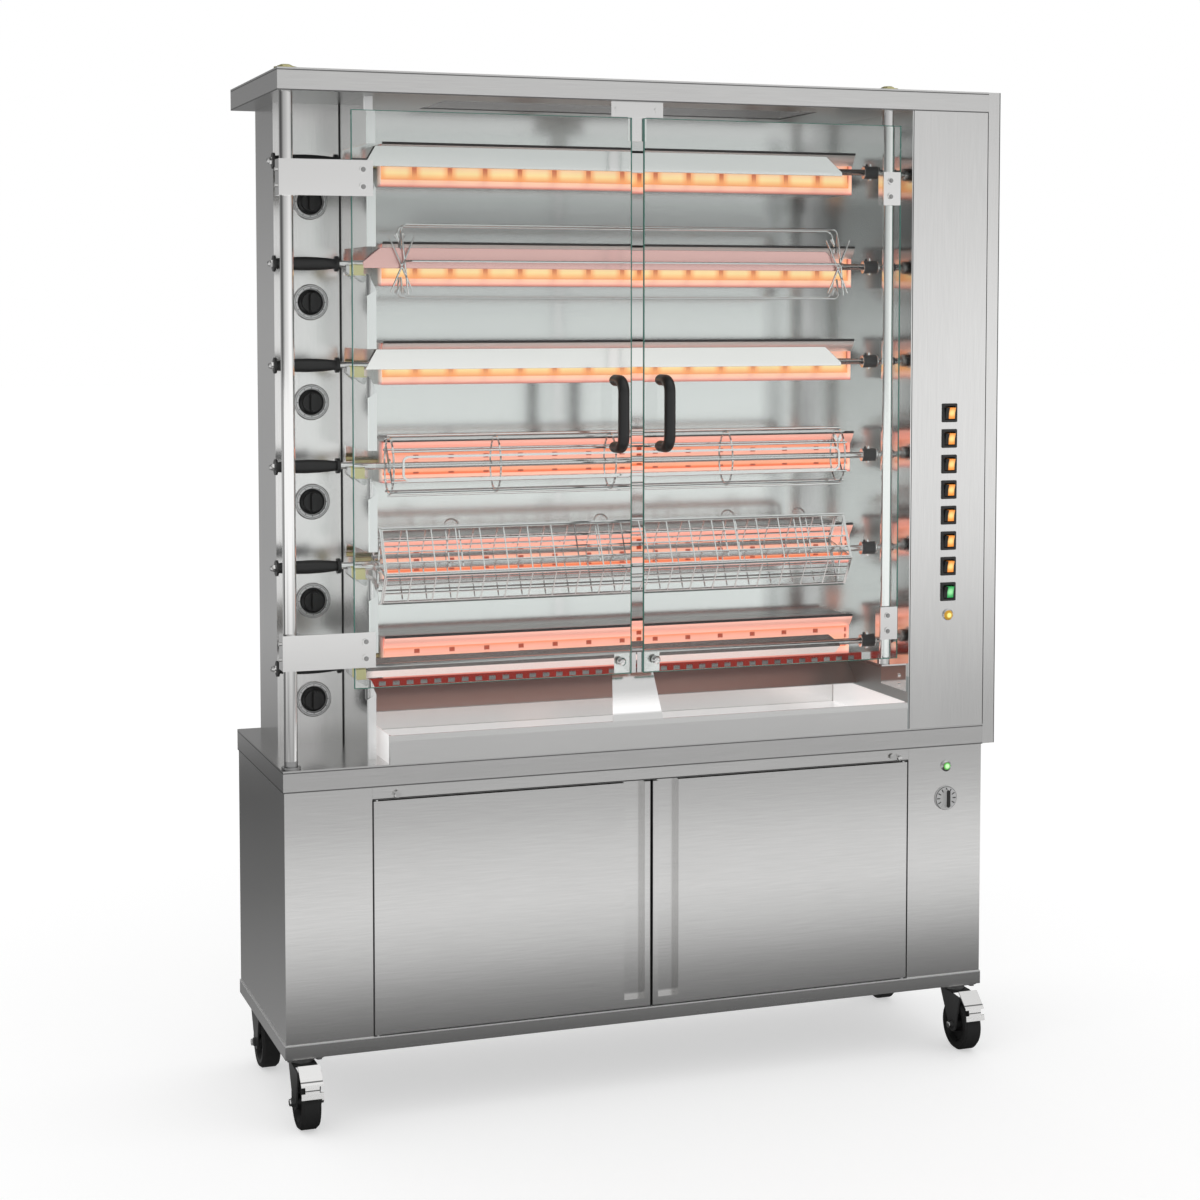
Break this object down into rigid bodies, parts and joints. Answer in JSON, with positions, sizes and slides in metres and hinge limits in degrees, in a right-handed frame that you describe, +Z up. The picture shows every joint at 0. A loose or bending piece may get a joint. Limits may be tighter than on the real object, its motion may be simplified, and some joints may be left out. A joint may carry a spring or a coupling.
{
  "type": "gas rotisserie",
  "caption": "Upright commercial gas rotisserie with stacked horizontal spits, flat burners behind them, glass doors, a drip tray and a heated cupboard on castors.",
  "frame": {"origin": "on the floor under the middle of the machine", "axes": "+Z up, -Y towards the front, +X to the right seen from the front"},
  "size_m": [1.429, 0.5, 1.898],
  "materials": {
    "brushed_sheet": "fine brushed stainless sheet",
    "bright_sheet": "bright annealed stainless sheet",
    "turned_bar": "polished",
    "spit_steel": "polished stainless with dark turned grips",
    "zinc": "zinc plated",
    "pane": "clear tempered glass with green edges",
    "ceramic": "perforated burner plate, glowing",
    "black_plastic": "moulded black",
    "amber_lens": "translucent amber lens in black",
    "green_lens": "translucent green lens in black",
    "lamp": "domed lens in a dark ring",
    "dial_grey": "grey disc with a black bar",
    "motor_paint": "grey paint",
    "wheel_black": "black tread on a black wheel",
    "fork_dark": "dark grey coated"
  },
  "bodies": {
    "machine_body": {"cupboard_carcass": "brushed_sheet", "cupboard_front_frame": "brushed_sheet", "base_deck": "bright_sheet", "canopy": "bright_sheet", "outer_casing": "brushed_sheet", "control_panel": "brushed_sheet", "left_cavity_wall": "bright_sheet", "right_cavity_wall": "bright_sheet", "cavity_back": "bright_sheet", "burner_housings": "bright_sheet", "burner_ceramics": "ceramic", "switch_panel": "brushed_sheet", "right_side_cover": "brushed_sheet", "door_posts": "turned_bar", "door_stops": "brushed_sheet", "spit_bearings": "zinc", "rocker_housings": "black_plastic", "indicator_lamps": "lamp", "gear_motors": "motor_paint", "gas_manifold": "zinc"},
    "cupboard_door_left": {"cupboard_door_left": "brushed_sheet"},
    "glass_door_left": {"glass_pane_left": "pane", "glass_fittings_left": "brushed_sheet", "glass_handle_left": "black_plastic"},
    "cupboard_door_right": {"cupboard_door_right": "brushed_sheet"},
    "glass_door_right": {"glass_pane_right": "pane", "glass_fittings_right": "brushed_sheet", "glass_handle_right": "black_plastic"},
    "drip_tray": {"drip_tray": "bright_sheet"},
    "gas_knob_1": {"gas_knob_1": "black_plastic"},
    "gas_knob_2": {"gas_knob_2": "black_plastic"},
    "gas_knob_3": {"gas_knob_3": "black_plastic"},
    "gas_knob_4": {"gas_knob_4": "black_plastic"},
    "gas_knob_5": {"gas_knob_5": "black_plastic"},
    "gas_knob_6": {"gas_knob_6": "black_plastic"},
    "thermostat_dial": {"thermostat_dial": "dial_grey"},
    "rocker_1": {"rocker_1": "amber_lens"},
    "rocker_2": {"rocker_2": "amber_lens"},
    "rocker_3": {"rocker_3": "amber_lens"},
    "rocker_4": {"rocker_4": "amber_lens"},
    "rocker_5": {"rocker_5": "amber_lens"},
    "rocker_6": {"rocker_6": "amber_lens"},
    "rocker_7": {"rocker_7": "amber_lens"},
    "rocker_8": {"rocker_8": "green_lens"},
    "spit_1": {"spit_1": "spit_steel"},
    "spit_2": {"spit_2": "spit_steel"},
    "spit_3": {"spit_3": "spit_steel"},
    "spit_4": {"spit_4": "spit_steel"},
    "spit_5": {"spit_5": "spit_steel"},
    "spit_6": {"spit_6": "spit_steel"},
    "castor_fork_front_left": {"castor_fork_front_left": "fork_dark"},
    "castor_wheel_front_left": {"castor_wheel_front_left": "wheel_black"},
    "castor_pedal_front_left": {"castor_pedal_front_left": "zinc"},
    "castor_fork_front_right": {"castor_fork_front_right": "fork_dark"},
    "castor_wheel_front_right": {"castor_wheel_front_right": "wheel_black"},
    "castor_pedal_front_right": {"castor_pedal_front_right": "zinc"},
    "castor_fork_back_left": {"castor_fork_back_left": "fork_dark"},
    "castor_wheel_back_left": {"castor_wheel_back_left": "wheel_black"},
    "castor_fork_back_right": {"castor_fork_back_right": "fork_dark"},
    "castor_wheel_back_right": {"castor_wheel_back_right": "wheel_black"}
  },
  "joints": [
    {"name": "cupboard_door_left_hinge", "type": "hinge", "parent": "machine_body", "child": "cupboard_door_left", "pos_m": [-0.5425, -0.189, 0.37], "axis": [0, 0, -1], "range_deg": [0, 110]},
    {"name": "cupboard_door_right_hinge", "type": "hinge", "parent": "machine_body", "child": "cupboard_door_right", "pos_m": [0.5145, -0.189, 0.37], "axis": [0, 0, 1], "range_deg": [0, 110]},
    {"name": "glass_door_left_hinge", "type": "hinge", "parent": "machine_body", "child": "glass_door_left", "pos_m": [-0.695, -0.173, 1.28], "axis": [0, 0, -1], "range_deg": [0, 115]},
    {"name": "glass_door_right_hinge", "type": "hinge", "parent": "machine_body", "child": "glass_door_right", "pos_m": [0.478, -0.173, 1.28], "axis": [0, 0, 1], "range_deg": [0, 115]},
    {"name": "drip_tray_slide", "type": "slide", "parent": "machine_body", "child": "drip_tray", "axis": [0, -1, 0], "range_m": [0, 0.28]},
    {"name": "spit_1_turn", "type": "hinge", "parent": "machine_body", "child": "spit_1", "pos_m": [-0.114, -0.085, 1.734], "axis": [1, 0, 0], "continuous": true},
    {"name": "spit_2_turn", "type": "hinge", "parent": "machine_body", "child": "spit_2", "pos_m": [-0.114, -0.085, 1.5506], "axis": [1, 0, 0], "continuous": true},
    {"name": "spit_3_turn", "type": "hinge", "parent": "machine_body", "child": "spit_3", "pos_m": [-0.114, -0.085, 1.3672], "axis": [1, 0, 0], "continuous": true},
    {"name": "spit_4_turn", "type": "hinge", "parent": "machine_body", "child": "spit_4", "pos_m": [-0.114, -0.085, 1.1838], "axis": [1, 0, 0], "continuous": true},
    {"name": "spit_5_turn", "type": "hinge", "parent": "machine_body", "child": "spit_5", "pos_m": [-0.114, -0.085, 1.0004], "axis": [1, 0, 0], "continuous": true},
    {"name": "spit_6_turn", "type": "hinge", "parent": "machine_body", "child": "spit_6", "pos_m": [-0.114, -0.085, 0.817], "axis": [1, 0, 0], "continuous": true},
    {"name": "gas_knob_1_turn", "type": "hinge", "parent": "machine_body", "child": "gas_knob_1", "pos_m": [-0.6035, 0.055, 1.6686], "axis": [0, 1, 0], "range_deg": [0, 180]},
    {"name": "gas_knob_2_turn", "type": "hinge", "parent": "machine_body", "child": "gas_knob_2", "pos_m": [-0.6035, 0.055, 1.4816], "axis": [0, 1, 0], "range_deg": [0, 180]},
    {"name": "gas_knob_3_turn", "type": "hinge", "parent": "machine_body", "child": "gas_knob_3", "pos_m": [-0.6035, 0.055, 1.2946], "axis": [0, 1, 0], "range_deg": [0, 180]},
    {"name": "gas_knob_4_turn", "type": "hinge", "parent": "machine_body", "child": "gas_knob_4", "pos_m": [-0.6035, 0.055, 1.1076], "axis": [0, 1, 0], "range_deg": [0, 180]},
    {"name": "gas_knob_5_turn", "type": "hinge", "parent": "machine_body", "child": "gas_knob_5", "pos_m": [-0.6035, 0.055, 0.9206], "axis": [0, 1, 0], "range_deg": [0, 180]},
    {"name": "gas_knob_6_turn", "type": "hinge", "parent": "machine_body", "child": "gas_knob_6", "pos_m": [-0.6035, 0.055, 0.7336], "axis": [0, 1, 0], "range_deg": [0, 180]},
    {"name": "thermostat_dial_turn", "type": "hinge", "parent": "machine_body", "child": "thermostat_dial", "pos_m": [0.606, -0.193, 0.507], "axis": [0, 1, 0], "range_deg": [0, 290]},
    {"name": "rocker_1_tilt", "type": "hinge", "parent": "machine_body", "child": "rocker_1", "pos_m": [0.606, -0.19, 1.267], "axis": [-1, 0, 0], "range_deg": [0, 14]},
    {"name": "rocker_2_tilt", "type": "hinge", "parent": "machine_body", "child": "rocker_2", "pos_m": [0.606, -0.19, 1.2169], "axis": [-1, 0, 0], "range_deg": [0, 14]},
    {"name": "rocker_3_tilt", "type": "hinge", "parent": "machine_body", "child": "rocker_3", "pos_m": [0.606, -0.19, 1.1668], "axis": [-1, 0, 0], "range_deg": [0, 14]},
    {"name": "rocker_4_tilt", "type": "hinge", "parent": "machine_body", "child": "rocker_4", "pos_m": [0.606, -0.19, 1.1167], "axis": [-1, 0, 0], "range_deg": [0, 14]},
    {"name": "rocker_5_tilt", "type": "hinge", "parent": "machine_body", "child": "rocker_5", "pos_m": [0.606, -0.19, 1.0666], "axis": [-1, 0, 0], "range_deg": [0, 14]},
    {"name": "rocker_6_tilt", "type": "hinge", "parent": "machine_body", "child": "rocker_6", "pos_m": [0.606, -0.19, 1.0165], "axis": [-1, 0, 0], "range_deg": [0, 14]},
    {"name": "rocker_7_tilt", "type": "hinge", "parent": "machine_body", "child": "rocker_7", "pos_m": [0.606, -0.19, 0.9664], "axis": [-1, 0, 0], "range_deg": [0, 14]},
    {"name": "rocker_8_tilt", "type": "hinge", "parent": "machine_body", "child": "rocker_8", "pos_m": [0.606, -0.19, 0.9163], "axis": [-1, 0, 0], "range_deg": [0, 14]},
    {"name": "castor_swivel_front_left", "type": "hinge", "parent": "machine_body", "child": "castor_fork_front_left", "pos_m": [-0.676, -0.155, 0.11], "axis": [0, 0, 1], "continuous": true},
    {"name": "castor_roll_front_left", "type": "hinge", "parent": "castor_fork_front_left", "child": "castor_wheel_front_left", "pos_m": [-0.676, -0.191, 0.05], "axis": [1, 0, 0], "continuous": true},
    {"name": "castor_brake_front_left", "type": "hinge", "parent": "castor_fork_front_left", "child": "castor_pedal_front_left", "pos_m": [-0.676, -0.211, 0.106], "axis": [1, 0, 0], "range_deg": [0, 6]},
    {"name": "castor_swivel_front_right", "type": "hinge", "parent": "machine_body", "child": "castor_fork_front_right", "pos_m": [0.648, -0.155, 0.11], "axis": [0, 0, 1], "continuous": true},
    {"name": "castor_roll_front_right", "type": "hinge", "parent": "castor_fork_front_right", "child": "castor_wheel_front_right", "pos_m": [0.648, -0.191, 0.05], "axis": [1, 0, 0], "continuous": true},
    {"name": "castor_brake_front_right", "type": "hinge", "parent": "castor_fork_front_right", "child": "castor_pedal_front_right", "pos_m": [0.648, -0.211, 0.106], "axis": [1, 0, 0], "range_deg": [0, 6]},
    {"name": "castor_swivel_back_left", "type": "hinge", "parent": "machine_body", "child": "castor_fork_back_left", "pos_m": [-0.676, 0.203, 0.11], "axis": [0, 0, 1], "continuous": true},
    {"name": "castor_roll_back_left", "type": "hinge", "parent": "castor_fork_back_left", "child": "castor_wheel_back_left", "pos_m": [-0.676, 0.167, 0.05], "axis": [1, 0, 0], "continuous": true},
    {"name": "castor_swivel_back_right", "type": "hinge", "parent": "machine_body", "child": "castor_fork_back_right", "pos_m": [0.648, 0.203, 0.11], "axis": [0, 0, 1], "continuous": true},
    {"name": "castor_roll_back_right", "type": "hinge", "parent": "castor_fork_back_right", "child": "castor_wheel_back_right", "pos_m": [0.648, 0.167, 0.05], "axis": [1, 0, 0], "continuous": true}
  ]
}
